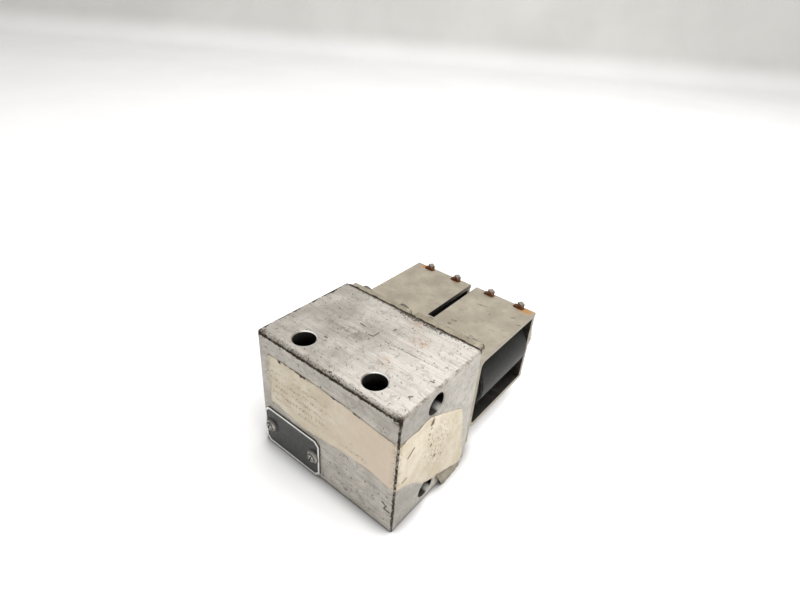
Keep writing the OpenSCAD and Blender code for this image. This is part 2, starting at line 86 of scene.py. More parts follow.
# ---------------------------------------------------------------- shader writer
class Paint:
    """Writes the nodes of one material. Coordinates are the part's own, in mm."""

    def __init__(self, name, metallic=0.0, roughness=0.5):
        self.mat = bpy.data.materials.new(name)
        self.mat.use_nodes = True
        self.tree = self.mat.node_tree
        self.tree.nodes.clear()
        output = self.tree.nodes.new("ShaderNodeOutputMaterial")
        self.shader = self.tree.nodes.new("ShaderNodeBsdfPrincipled")
        self.link(self.shader.outputs[0], output.inputs["Surface"])
        self.shader.inputs["Metallic"].default_value = metallic
        self.shader.inputs["Roughness"].default_value = roughness
        coord = self.tree.nodes.new("ShaderNodeTexCoord")
        scale = self.node("ShaderNodeVectorMath", operation="SCALE")
        self.link(coord.outputs["Object"], scale.inputs[0])
        scale.inputs["Scale"].default_value = 1 / MM
        self.mm = scale.outputs[0]
        split = self.node("ShaderNodeSeparateXYZ")
        self.link(self.mm, split.inputs[0])
        self.x, self.y, self.z = split.outputs

    def node(self, kind, **settings):
        made = self.tree.nodes.new(kind)
        for key, value in settings.items():
            setattr(made, key, value)
        return made

    def link(self, a, b):
        self.tree.links.new(a, b)

    def put(self, value, socket):
        """Links a socket, or sets a plain number, vector or colour."""
        if isinstance(value, bpy.types.NodeSocket):
            self.link(value, socket)
        else:
            socket.default_value = value

    def math(self, operation, a, b=0.0, c=0.0, clamp=False):
        made = self.node("ShaderNodeMath", operation=operation, use_clamp=clamp)
        for value, socket in zip((a, b, c), made.inputs):
            self.put(value, socket)
        return made.outputs[0]

    def add(self, *terms):
        total = terms[0]
        for term in terms[1:]:
            total = self.math("ADD", total, term)
        return total

    def mul(self, *terms):
        total = terms[0]
        for term in terms[1:]:
            total = self.math("MULTIPLY", total, term)
        return total

    def most(self, *terms):
        total = terms[0]
        for term in terms[1:]:
            total = self.math("MAXIMUM", total, term)
        return total

    def sub(self, a, b):
        return self.math("SUBTRACT", a, b)

    def gap(self, a, b):
        """How far apart two values are."""
        return self.math("ABSOLUTE", self.sub(a, b))

    def invert(self, a):
        return self.sub(1.0, a)

    def step(self, value, low, high, to_low=0.0, to_high=1.0):
        """Smooth step from to_low, at low, to to_high, at high."""
        made = self.node("ShaderNodeMapRange", interpolation_type="SMOOTHSTEP")
        self.put(value, made.inputs["Value"])
        made.inputs["From Min"].default_value = low
        made.inputs["From Max"].default_value = high
        made.inputs["To Min"].default_value = to_low
        made.inputs["To Max"].default_value = to_high
        return made.outputs[0]

    def fall(self, value, low, high):
        """Smooth step from 1, at low, to 0, at high."""
        return self.step(value, low, high, 1.0, 0.0)

    def near(self, value, target, width):
        """1 where value is target, falling to 0 at width away."""
        return self.fall(self.gap(value, target), 0.0, width)

    def away(self, place, weights):
        """Distance from a place, with each axis weighted; a weight of 0 leaves that axis out."""
        moved = self.node("ShaderNodeVectorMath", operation="SUBTRACT")
        self.link(self.mm, moved.inputs[0])
        moved.inputs[1].default_value = place
        scaled = self.node("ShaderNodeVectorMath", operation="MULTIPLY")
        self.link(moved.outputs[0], scaled.inputs[0])
        scaled.inputs[1].default_value = weights
        made = self.node("ShaderNodeVectorMath", operation="LENGTH")
        self.link(scaled.outputs[0], made.inputs[0])
        return made.outputs["Value"]

    def blob(self, place, radius, weights=(1, 1, 1)):
        """1 at a place, falling to 0 at the radius."""
        return self.fall(self.away(place, weights), 0.0, radius)

    def stroke(self, start, end, width):
        """1 along a straight line between two places, 0 beyond its width."""
        a, b = Vector(start), Vector(end)
        along = self.node("ShaderNodeVectorMath", operation="DOT_PRODUCT")
        self.link(self.mm, along.inputs[0])
        along.inputs[1].default_value = (b - a) / (b - a).length_squared
        begin = a.dot(b - a) / (b - a).length_squared
        share = self.math("SUBTRACT", along.outputs["Value"], begin, clamp=True)
        point = self.node("ShaderNodeVectorMath", operation="MULTIPLY_ADD")
        point.inputs[0].default_value = b - a
        self.link(share, point.inputs[1])
        point.inputs[2].default_value = a
        made = self.node("ShaderNodeVectorMath", operation="DISTANCE")
        self.link(self.mm, made.inputs[0])
        self.link(point.outputs[0], made.inputs[1])
        return self.fall(made.outputs["Value"], width * 0.4, width)

    def scaled(self, stretch, offset=(0, 0, 0)):
        made = self.node("ShaderNodeMapping")
        self.link(self.mm, made.inputs["Vector"])
        made.inputs["Scale"].default_value = stretch
        made.inputs["Location"].default_value = offset
        return made.outputs[0]

    def noise(self, size, detail=4.0, rough=0.55, stretch=(1, 1, 1), seed=0.0, warp=0.0):
        """Noise whose blobs are about size mm, longer along axes with a small stretch."""
        made = self.node("ShaderNodeTexNoise", noise_dimensions="3D")
        self.link(self.scaled(stretch, (seed, seed * 0.7, seed * 1.3)), made.inputs["Vector"])
        made.inputs["Scale"].default_value = 1 / size
        made.inputs["Detail"].default_value = detail
        made.inputs["Roughness"].default_value = rough
        made.inputs["Distortion"].default_value = warp
        return made.outputs[0]

    def specks(self, size, radius, seed=0.0, stretch=(1, 1, 1)):
        """Round specks, one in each cell of about size mm, of mixed radius up to radius cells."""
        made = self.node("ShaderNodeTexVoronoi", feature="F1")
        self.link(self.scaled(stretch, (seed, seed * 1.7, seed * 0.4)), made.inputs["Vector"])
        made.inputs["Scale"].default_value = 1 / size
        split = self.node("ShaderNodeSeparateColor")
        self.link(made.outputs["Color"], split.inputs[0])
        limit = self.mul(self.math("POWER", split.outputs[0], 3.0), radius)
        return self.math("LESS_THAN", made.outputs["Distance"], limit)

    def scratches(self, across, along, pitch, width, length, share, seed=0.0, bend=0.6):
        """Thin broken lines: across is the direction they are stacked in, along their own."""
        def dot(direction):
            made = self.node("ShaderNodeVectorMath", operation="DOT_PRODUCT")
            self.link(self.mm, made.inputs[0])
            made.inputs[1].default_value = direction
            return made.outputs["Value"]
        sway = self.mul(self.noise(9.0, 1.0, seed=seed + 3), bend)
        v = self.math("DIVIDE", self.add(dot(across), sway, seed * 1.37), pitch)
        row = self.math("FLOOR", v)
        chance = self.node("ShaderNodeTexWhiteNoise", noise_dimensions="1D")
        self.link(row, chance.inputs["W"])
        place = self.math("MULTIPLY_ADD", chance.outputs["Value"], 0.6, 0.2)
        line = self.near(self.math("FRACT", v), place, width / pitch)
        made = self.node("ShaderNodeTexNoise", noise_dimensions="1D")
        run = self.math("DIVIDE", dot(along), length)
        shifted = self.math("MULTIPLY_ADD", chance.outputs["Value"], 977.0, run)
        self.link(shifted, made.inputs["W"])
        made.inputs["Scale"].default_value = 1.0
        made.inputs["Detail"].default_value = 1.0
        there = self.step(made.outputs[0], 1 - share, 1.06 - share)
        return self.mul(line, there)

    def mix(self, a, b, factor):
        """Colour a, with b over it where factor is 1."""
        made = self.node("ShaderNodeMix", data_type="RGBA")
        self.put(factor, made.inputs[0])
        self.put(a, made.inputs[6])
        self.put(b, made.inputs[7])
        return made.outputs[2]

    def shade(self, colour, factor):
        """Colour times a grey factor."""
        made = self.node("ShaderNodeMix", data_type="RGBA", blend_type="MULTIPLY")
        made.inputs[0].default_value = 1.0
        grey = self.node("ShaderNodeCombineColor")
        for i in range(3):
            self.put(factor, grey.inputs[i])
        self.put(colour, made.inputs[6])
        self.link(grey.outputs[0], made.inputs[7])
        return made.outputs[2]

    def finish(self, colour, roughness=None, height=None, depth=0.05, metallic=None):
        """Wires colour, roughness and bump; depth is the bump's height in mm."""
        self.put(colour, self.shader.inputs["Base Color"])
        if roughness is not None:
            self.put(roughness, self.shader.inputs["Roughness"])
        if metallic is not None:
            self.put(metallic, self.shader.inputs["Metallic"])
        if height is not None:
            bump = self.node("ShaderNodeBump")
            bump.inputs["Distance"].default_value = depth * MM
            bump.inputs["Strength"].default_value = 1.0
            self.link(height, bump.inputs["Height"])
            self.link(bump.outputs[0], self.shader.inputs["Normal"])
        return self.mat


def rgb(red, green, blue):
    """A screen colour, 0 to 255, as the linear colour that shaders use."""
    def linear(v):
        v /= 255
        return v / 12.92 if v <= 0.04045 else ((v + 0.055) / 1.055) ** 2.4
    return (linear(red), linear(green), linear(blue), 1.0)


# ---------------------------------------------------------------- materials
X_LINES = (0.03, 1.0, 1.0)   # stretch of noise that is drawn out along X
DIRT_COVER = 0.985           # how far the dirt on the edges hides what is under it
PRINT_PITCH = 3.9            # from one row of print to the next, in mm
AXIS_MID = (AXES_X[0] + AXES_X[1]) / 2
YOKE_HALF = (YOKE_HI.z - YOKE_LO.z) / 2


def dark_bores(p, colour):
    """Painted shade inside the four ports: near black and darker with depth. A painted highlight on the
    bare rear lip of the outlets, and painted light low in the side ports, with a bright streak."""
    down = p.sub(TOP_Z, p.z)
    inwards = p.sub(SIDE_X, p.x)
    film = p.noise(1.8, 4, 0.6, seed=71)
    # painted highlight: the outlets' bare lip is lighter towards its rear
    bare = p.mix(rgb(118, 113, 104), rgb(240, 238, 234), p.step(p.y, OUTLET_Y + 1, OUTLET_Y + 5))
    for axis_x in AXES_X:
        far = p.away((axis_x, OUTLET_Y, 0), (1, 1, 0))
        lip = p.mul(p.fall(far, PORT_R + 0.3, PORT_R + 0.5), p.step(down, -0.2, 0.05))
        colour = p.mix(colour, bare, lip)
        bore = p.mul(p.fall(far, PORT_R + 0.3, PORT_R + 0.6), p.step(down, 0.45, 0.75))
        bore = p.mul(bore, p.fall(down, 30, 31))
        # painted shade: the bore darker with depth
        depth_shade = p.mix(rgb(52, 50, 47), rgb(5, 5, 5), p.step(p.add(down, p.mul(film, 5)), 2.5, 9.0))
        colour = p.mix(colour, depth_shade, bore)
    for port_z in SIDE_PORTS_Z:
        far = p.away((0, SIDE_PORT_Y, port_z), (0, 1, 1))
        bore = p.mul(p.fall(far, PORT_R + 0.3, PORT_R + 0.6), p.step(inwards, 0.45, 0.75))
        bore = p.mul(bore, p.fall(inwards, 60, 61))
        rise = p.sub(p.z, port_z)
        back = p.sub(p.y, SIDE_PORT_Y)
        # painted shade inside the side ports, painted light on their lower wall, and a painted highlight
        # streak
        low = p.mul(p.fall(rise, -4.9, -1.4), p.step(inwards, 0.5, 8.0, 1.0, 0.1))
        streak = p.step(p.add(p.mul(back, 0.6 / PORT_R), p.mul(rise, -0.8 / PORT_R)), 0.89, 1.0)
        streak = p.mul(streak, p.fall(inwards, 0.5, 6.5))
        inner = p.mix(rgb(12, 11, 10), rgb(74, 71, 67), low)
        inner = p.mix(inner, rgb(222, 220, 215), p.mul(streak, streak))
        colour = p.mix(colour, inner, bore)
    return colour


# Single scratches on the block's upper and front faces: start, end and width
BLOCK_MARKS = (((-10.8, 6.3, TOP_Z), (-7.9, 6.0, TOP_Z), 0.6),
               ((-2.9, 2.5, TOP_Z), (-0.4, 3.0, TOP_Z), 0.45),
               ((-0.4, 3.0, TOP_Z), (-0.3, 6.8, TOP_Z), 0.4),
               ((-15.3, -11.5, TOP_Z), (-14.1, -11.4, TOP_Z), 0.6),
               ((34.2, -16.4, TOP_Z), (35.2, -15.4, TOP_Z), 0.6),
               ((35.0, -3.6, TOP_Z), (36.6, -3.3, TOP_Z), 0.5),
               ((34.1, FRONT_Y, 15.6), (36.3, FRONT_Y, 14.8), 0.7),
               ((36.3, FRONT_Y, 14.8), (35.4, FRONT_Y, 12.4), 0.7),
               ((35.4, FRONT_Y, 12.4), (38.1, FRONT_Y, 12.0), 0.75),
               ((-4.0, FRONT_Y, 16.0), (-2.4, FRONT_Y, 16.4), 0.8))


def block_gaps(p):
    """Distances in mm from the block's front, rear, right and upper faces, and a mask of its top."""
    top = p.step(p.z, TOP_Z - 0.9, TOP_Z - 0.4)
    return p.sub(p.y, FRONT_Y), p.sub(BACK_Y, p.y), p.sub(SIDE_X, p.x), p.sub(TOP_Z, p.z), top


def block_metal(p, cloud, milling, coarse):
    """The bare metal's colour, with its stains, painted shade on the side and painted light on the front.
    """
    from_front, _, from_side, _, top = block_gaps(p)
    blotch = p.noise(4, 6, 0.7, seed=8, warp=0.6)
    colour = p.mix(rgb(158, 153, 145), rgb(180, 175, 167), p.step(cloud, 0.35, 0.65))
    # right half of the top scuffed bright, left half a little darker; painted shade on the side, darker to
    # the front
    scuff = p.mul(p.step(p.add(p.x, p.mul(blotch, 34)), 12, 44), top)
    colour = p.mix(colour, rgb(199, 194, 187), p.mul(scuff, 0.75))
    colour = p.shade(colour, p.add(1.0, p.mul(top, p.step(p.x, -30, 6, -0.06, 0.05))))
    side = p.fall(from_side, 0.4, 0.9)
    dull = p.mul(side, p.step(from_front, 1.0, 44.0, 0.3, 0.06))
    colour = p.shade(colour, p.sub(1.06, dull))
    # painted light: the front face a little lighter
    colour = p.shade(colour, p.step(from_front, 0.1, 0.4, 1.05, 1.0))
    colour = p.shade(colour, p.step(milling, 0.25, 0.75, 0.86, 1.1))
    colour = p.shade(colour, p.step(coarse, 0.3, 0.7, 0.88, 1.06))
    grey = p.mul(p.step(blotch, 0.52, 0.66), 0.45)
    colour = p.mix(colour, rgb(128, 123, 114), grey)
    smears = p.step(p.noise(2.4, 6, 0.75, (0.35, 1, 1), seed=61), 0.55, 0.68)
    colour = p.mix(colour, rgb(110, 104, 95), p.mul(smears, 0.4))
    shadow = p.mul(p.blob((-8, -1, TOP_Z), 12, (0.55, 2.2, 1)), p.step(blotch, 0.42, 0.56), 0.7)
    colour = p.mix(colour, rgb(112, 109, 102), shadow)
    # faint rust, in three places on the top
    rust = p.most(p.blob((15, -7, TOP_Z), 6, (0.8, 1.2, 1)), p.blob((17, 14, TOP_Z), 8, (1, 1, 1)),
                  p.blob((9, 23, TOP_Z), 7, (0.8, 1.4, 1)))
    rust = p.mul(rust, p.step(p.noise(1.6, 5, 0.7, (0.5, 1, 1), seed=21), 0.46, 0.6), 0.6)
    colour = p.mix(colour, rgb(168, 122, 84), rust)
    return colour


def block_scratches(p, colour, ragged):
    """Long scratches along the milling, short ones every way, single ones, hairs and pits."""
    long = p.scratches((0.12, 1, 0.6), (1, -0.12, -0.1), 2.1, 0.22, 12, 0.42, seed=1)
    cross = p.scratches((0.9, 0.35, 0.5), (-0.35, 0.9, -0.6), 4.0, 0.25, 4, 0.38, seed=2)
    short = p.scratches((0.5, 0.85, 0.35), (0.85, -0.5, -0.6), 4.4, 0.34, 2.2, 0.36, seed=4, bend=2.5)
    ends = p.step(p.math("ABSOLUTE", p.x), SIDE_X - 0.6, SIDE_X - 0.2, 1.0, 0.25)
    short = p.mul(short, ends)
    colour = p.mix(colour, rgb(104, 97, 88), p.mul(p.most(long, cross), ends, 0.5))
    nicks = p.most(p.step(p.noise(1.1, 3, 0.7, (0.3, 1, 1), seed=91), 0.68, 0.72),
                   p.step(p.noise(1.3, 3, 0.7, (1, 0.4, 0.5), seed=93), 0.69, 0.73))
    colour = p.mix(colour, rgb(78, 70, 60), p.mul(nicks, ends, 0.55))
    line = p.mul(p.stroke((5.6, 3.6, TOP_Z), (36, 5.0, TOP_Z), 0.3), p.step(ragged, 0.38, 0.55), 0.75)
    single = p.most(*[p.stroke(start, end, width) for start, end, width in BLOCK_MARKS])
    marks = p.mul(p.most(short, line, p.mul(single, p.step(ragged, 0.36, 0.5, 0.3, 1.0))), 0.85)
    colour = p.mix(colour, rgb(48, 41, 34), marks)
    hair = p.near(p.noise(6.0, 1, 0.5, seed=101), 0.5, 0.028)
    hair = p.mul(hair, p.step(p.noise(3.5, 2, 0.6, seed=103), 0.6, 0.66))
    other = p.near(p.noise(8.0, 2, 0.5, (0.6, 1, 1), seed=105), 0.53, 0.022)
    hair = p.most(hair, p.mul(other, p.step(p.noise(2.6, 2, 0.6, seed=107), 0.61, 0.67)))
    hair = p.mul(hair, ends)
    colour = p.mix(colour, rgb(74, 64, 53), p.mul(hair, 0.7))
    pits = p.most(p.specks(4.6, 0.11, 3, (0.55, 1, 1)), p.specks(6.5, 0.07, 9, (1, 0.6, 1)))
    colour = p.mix(colour, rgb(60, 51, 42), p.mul(pits, 0.75))
    return colour, p.most(long, cross, marks, pits, hair)


def block_dirt(p, colour, ragged):
    """Oily dirt over the block's edges, and painted shade along its foot. Gives the colour and a mask of
    both.
    """
    from_front, from_back, from_side, from_top, top = block_gaps(p)
    patch = p.noise(6, 3, 0.6, seed=33)
    # front chamfer: a thin dark line at its lower edge and specks above it
    jitter = p.sub(ragged, 0.5)
    below = p.math("MAXIMUM", p.sub(from_top, CHAMFER), 0.0)
    up = p.sub(from_front, below)
    zone = p.fall(p.math("MINIMUM", from_front, from_top), 1.0, 1.8)
    line = p.near(p.add(up, p.mul(jitter, 3.2)), 0.1, 0.62)
    line = p.mul(p.step(line, 0.05, 0.4), p.step(patch, 0.3, 0.46, 0.6, 1.0), zone)
    limit = p.step(up, 0.2, 4.6, 0.52, 0.7)
    specks = p.sub(p.add(ragged, p.mul(p.sub(patch, 0.5), 0.35)), limit)
    specks = p.mul(p.step(specks, 0.0, 0.04), p.step(up, -0.4, 0.2), zone)
    veil = p.mul(p.step(up, 0.0, 3.2, 0.45, 0.0), p.step(up, -0.5, 0.1), p.step(ragged, 0.35, 0.6), zone)
    # corners: an upright dark line, ragged edges left and right, and the seam at the rear
    corner = p.add(from_side, from_front, p.mul(jitter, 2.8))
    upright = p.fall(corner, 0.6, 0.95)
    right = p.add(from_side, from_top, p.mul(jitter, 4.0))
    right = p.mul(p.fall(right, 0.3, 1.3), p.step(patch, 0.4, 0.6, 0.25, 0.8))
    from_left = p.sub(p.x, BLOCK_LO.x)
    chips = p.sub(p.noise(5.0, 4, 0.7, seed=35), 0.5)
    left = p.fall(p.add(from_left, from_top, p.mul(chips, -7.0)), 0.7, 1.2)
    seam = p.fall(p.add(from_back, p.mul(jitter, 3.4)), 0.85, 1.35)
    seam = p.mul(seam, p.fall(from_top, 1.0, 3.0))
    heap = p.step(p.gap(p.x, 10.0), 8.0, 22.0, 0.1, 0.0)
    heap = p.add(heap, p.step(from_back, 0.3, 6.5, 0.1, -0.18), jitter)
    heap = p.mul(p.step(heap, 0.08, 0.13), top, p.fall(from_back, 6.0, 9.0))
    knots = p.mul(p.step(p.math("ABSOLUTE", p.x), SIDE_X - 6, SIDE_X - 1), p.fall(up, 0.8, 3.0))
    knots = p.mul(knots, p.step(up, -3.0, -0.3), p.step(ragged, 0.4, 0.5), zone)
    # painted shade: a dark band along the foot, where the block meets the floor
    foot = p.mul(p.fall(p.add(p.z, p.mul(jitter, 2.4)), 0.6, 1.3), 0.85)
    colour = p.mix(colour, rgb(108, 92, 74), p.most(p.mul(veil, 0.8), right))
    # the dirt mask also holds the painted shade along the foot
    dirt = p.most(line, p.mul(specks, 0.85), upright, left, seam, p.mul(heap, 0.85), knots, foot)
    colour = p.mix(colour, rgb(36, 27, 18), p.mul(dirt, DIRT_COVER))
    return colour, dirt


def paint_block():
    """Milled aluminium: fine lines along X, stains, scratches, dirt on the worn edges, and painted light
    and shade.
    """
    p = Paint("block_metal", metallic=0.35, roughness=0.5)
    p.shader.inputs["Specular IOR Level"].default_value = 0.15
    milling = p.noise(0.45, 3, 0.7, X_LINES, seed=5)
    coarse = p.noise(2.2, 3, 0.65, (0.05, 1, 1), seed=11)
    cloud = p.noise(13, 4, 0.6, seed=2)
    ragged = p.noise(1.0, 6, 0.75, seed=31)
    colour = block_metal(p, cloud, milling, coarse)
    colour, cuts = block_scratches(p, colour, ragged)
    colour, dirt = block_dirt(p, colour, ragged)
    colour = dark_bores(p, colour)
    # dirt holds the dirt on the edges and the painted shade along the foot
    rough = p.add(p.step(cloud, 0.3, 0.7, 0.42, 0.52), p.mul(dirt, 0.35))
    height = p.add(p.mul(milling, 0.35), p.mul(coarse, 0.2), p.mul(cuts, -0.7))
    metal = p.sub(0.35, p.mul(dirt, 0.35))
    return p.finish(colour, rough, height, 0.03, metal)


def paint_flange():
    """Plated steel: painted shade in the gap along its upper rear edge and down its right end; dirt
    flecks.
    """
    p = Paint("flange_metal", metallic=0.3, roughness=0.55)
    p.shader.inputs["Specular IOR Level"].default_value = 0.2
    cloud = p.noise(5, 4, 0.6, seed=4)
    fine = p.noise(0.6, 3, 0.6, seed=14)
    colour = p.mix(rgb(136, 128, 112), rgb(156, 148, 131), p.step(cloud, 0.35, 0.65))
    ragged = p.noise(1.0, 6, 0.75, seed=24)
    # painted shade in the gap where the upper rear edge meets the yoke, and down the right end
    behind = p.sub(YOKE_LO.y, p.y)
    edge = p.fall(p.add(behind, p.mul(ragged, 1.6)), 1.1, 1.7)
    end = p.sub(FLANGE_HI.x, p.x)
    edge = p.most(edge, p.fall(p.add(end, p.mul(ragged, 1.4)), 0.9, 1.4))
    high = p.step(p.z, FLANGE_HI.z - 4.0, FLANGE_HI.z - 1.5)
    flecks = p.mul(p.step(p.noise(0.8, 5, 0.75, seed=34), 0.56, 0.64), high)
    # dirt holds that painted shade and the flecks of dirt
    dirt = p.most(p.mul(edge, high, 0.9), p.mul(flecks, 0.7))
    colour = p.mix(colour, rgb(44, 36, 27), dirt)
    return p.finish(colour, p.add(0.48, p.mul(dirt, 0.3)), p.add(fine, dirt), 0.04)


# Rust that has run from each upper tab: its side of the coil, which coil, lean along X and Y,
# reach and strength
RUNS = ((-1, 0, -3.2, 0.3, 3.0, 1.0), (1, 0, 1.4, -1.2, 2.0, 0.6),
        (-1, 1, -0.4, -0.9, 1.5, 0.45), (1, 1, 4.0, -0.5, 4.2, 1.0))
# Single dark marks on the yoke's upper face: start and end along X and Y, and width
YOKE_MARKS = ((10.8, 74.7, 13.0, 75.0, 0.5), (13.0, 75.0, 16.2, 75.9, 0.35), (9.1, 52.5, 11.1, 53.2, 0.7),
              (20.0, 70.5, 20.8, 70.9, 0.5), (23.1, 47.3, 24.0, 47.8, 0.7), (30.1, 75.4, 31.6, 76.8, 0.5),
              (35.4, 71.9, 36.9, 72.4, 0.5), (1.7, 71.2, 2.2, 71.4, 0.4))


def paint_yoke():
    """Dull plated sheet with faint stains, painted shade inside and in the slit, rust run down from the
    upper tabs.
    """
    p = Paint("yoke_metal", metallic=0.3, roughness=0.5)
    cloud = p.noise(10, 5, 0.6, seed=6)
    grain = p.noise(0.35, 2, 0.6, seed=16)
    colour = p.mix(rgb(146, 138, 123), rgb(162, 153, 137), p.step(cloud, 0.35, 0.65))
    colour = p.shade(colour, p.step(grain, 0.2, 0.8, 0.93, 1.06))
    bloom = p.mul(p.step(p.noise(6, 5, 0.65, seed=56), 0.52, 0.68), 0.3)
    colour = p.mix(colour, rgb(178, 169, 152), bloom)
    spots = p.most(p.specks(5, 0.13, 13, (0.5, 1, 1)), p.specks(9, 0.13, 17))
    stain = p.mul(p.step(p.noise(4, 6, 0.75, seed=26), 0.56, 0.7), 0.45)
    streaks = p.mul(p.step(p.noise(1.4, 5, 0.75, (0.3, 1, 1), seed=66), 0.6, 0.72), 0.5)
    colour = p.mix(colour, rgb(108, 96, 80), p.most(stain, streaks, p.mul(spots, 0.8)))
    single = p.most(*[p.stroke((ax, ay, YOKE_HI.z), (bx, by, YOKE_HI.z), width)
                      for ax, ay, bx, by, width in YOKE_MARKS])
    single = p.mul(single, p.step(p.noise(0.9, 4, 0.7, seed=76), 0.4, 0.5), 0.8)
    colour = p.mix(colour, rgb(72, 60, 46), single)
    ragged = p.noise(1.2, 5, 0.7, seed=36)
    rust = 0.0
    for side, axis, lean_x, lean_y, reach, strength in RUNS:
        place = (AXES_X[axis] + side * TAB_DX + lean_x, TAB_Y + lean_y, 0)
        far = p.add(p.away(place, (0.62, 1, 0)), p.mul(ragged, 3.2))
        rust = p.most(rust, p.step(far, reach * 0.3 + 1.5, reach + 1.4, strength, 0.0))
    rust = p.mul(rust, p.step(p.z, AXIS_Z, AXIS_Z + 10))
    orange = p.mix(rgb(160, 112, 36), rgb(128, 74, 22), p.step(ragged, 0.5, 0.62))
    colour = p.mix(colour, orange, p.mul(rust, 0.8))
    roots = 0.0
    for axis_x in AXES_X:
        for dx in (-TAB_DX, TAB_DX):
            far = p.add(p.away((axis_x + dx, TAB_Y, 0), (0.5, 1, 0)), p.mul(ragged, 1.2))
            roots = p.most(roots, p.fall(far, 1.9, 2.6))
    outside = p.step(p.gap(p.z, AXIS_Z), YOKE_HALF - 1.9, YOKE_HALF - 1.2)
    roots = p.mul(roots, outside)
    colour = p.mix(colour, rgb(84, 44, 20), p.mul(roots, 0.85))
    # painted shade: the sheet's inner faces and the slit are dark, the slit lighter towards its rear end
    up = p.gap(p.z, AXIS_Z)
    within = p.fall(up, YOKE_HALF - 2.15, YOKE_HALF - 1.9)
    within = p.mul(within, p.fall(p.x, YOKE_HI.x - 0.25, YOKE_HI.x - 0.1))
    inner_shade = p.mix(rgb(20, 17, 14), rgb(58, 50, 41), p.step(p.noise(3, 5, 0.7, seed=46), 0.5, 0.7))
    colour = p.mix(colour, inner_shade, p.mul(within, p.step(p.x, YOKE_LO.x + 0.1, YOKE_LO.x + 0.25)))
    slit = p.near(p.x, AXIS_MID, 2.6)
    slit = p.mul(p.step(slit, 0.05, 0.25), p.step(p.y, SLIT_Y - 0.3, SLIT_Y - 0.05))
    slit_shade = p.mix(rgb(8, 7, 6), rgb(92, 82, 68), p.step(p.y, SLIT_Y + 14, YOKE_HI.y))
    colour = p.mix(colour, slit_shade, slit)
    colour = p.shade(colour, p.step(p.x, YOKE_HI.x - 0.25, YOKE_HI.x - 0.1, 1.0, 0.84))
    metal = p.sub(0.3, p.mul(p.most(rust, within), 0.3))
    rough = p.add(p.step(cloud, 0.3, 0.7, 0.45, 0.55), p.mul(rust, 0.3))
    return p.finish(colour, rough, p.add(grain, p.mul(roots, 1.5), p.mul(spots, -1.0)), 0.03, metal)


def paint_rear_plate():
    """End plate: painted shade on its face inside the yoke, dull behind it, rusted through at the tabs."""
    p = Paint("rear_plate_metal", metallic=0.2, roughness=0.6)
    crust = p.noise(0.8, 6, 0.7, seed=7)
    cloud = p.noise(5, 4, 0.6, seed=17)
    plain = p.mix(rgb(120, 112, 97), rgb(146, 137, 120), p.step(cloud, 0.35, 0.65))
    # painted shade on the plate's face inside the yoke
    inside_shade = p.mix(rgb(24, 21, 17), rgb(52, 45, 37), p.step(cloud, 0.4, 0.7))
    plain = p.mix(plain, inside_shade, p.fall(p.y, TAB_Y - 1.0, TAB_Y - 0.4))
    rusty = p.mix(rgb(58, 28, 12), rgb(140, 78, 28), p.step(crust, 0.38, 0.66))
    up = p.gap(p.z, AXIS_Z)
    top = TAB_TOP_Z - AXIS_Z
    rust = p.step(p.add(up, p.mul(crust, 1.5)), YOKE_HALF - 0.6, YOKE_HALF + 1.0)
    tip = p.mul(p.step(up, top - 2.0, top - 0.4), p.step(crust, 0.36, 0.5))
    tip = p.most(p.mul(tip, 0.7), p.step(up, top - 0.25, top - 0.1, 0.0, 0.9))
    rusty = p.mix(rusty, rgb(128, 122, 113), tip)
    colour = p.mix(plain, rusty, rust)
    return p.finish(colour, p.step(rust, 0, 1, 0.5, 0.85), crust, 0.12, p.step(rust, 0, 1, 0.2, 0.05))


def paint_moulding(name, dark, light, rough, seed, dusty=0.12):
    """Moulded plastic with flow marks, fine scratches and a little dust."""
    p = Paint(name, roughness=rough)
    p.shader.inputs["Specular IOR Level"].default_value = 0.13
    flow = p.noise(7, 3, 0.5, (1, 0.25, 1), seed=seed)
    grain = p.noise(0.3, 2, 0.6, seed=seed + 1)
    dust = p.mul(p.step(p.noise(3, 6, 0.7, seed=seed + 2), 0.52, 0.75), dusty)
    marks = p.mul(p.scratches((0.6, 0.5, 0.8), (0.4, 0.8, -0.6), 5, 0.2, 4, 0.34, seed=seed), 0.3)
    colour = p.mix(dark, light, p.step(flow, 0.3, 0.7))
    colour = p.mix(colour, rgb(132, 126, 116), p.most(dust, p.mul(marks, 0.4)))
    return p.finish(colour, p.add(rough, p.mul(dust, 0.8), p.mul(flow, 0.08)), p.add(grain, marks), 0.01)


def paint_turned(name, base, rough, seed):
    """Turned or ground metal with fine rings round Y."""
    p = Paint(name, metallic=0.9, roughness=rough)
    rings = p.noise(0.25, 2, 0.6, (0.05, 1, 0.05), seed=seed)
    cloud = p.noise(3, 4, 0.6, seed=seed + 1)
    colour = p.shade(base, p.step(cloud, 0.3, 0.7, 0.85, 1.05))
    return p.finish(colour, p.step(cloud, 0.3, 0.7, rough - 0.06, rough + 0.1), rings, 0.01)


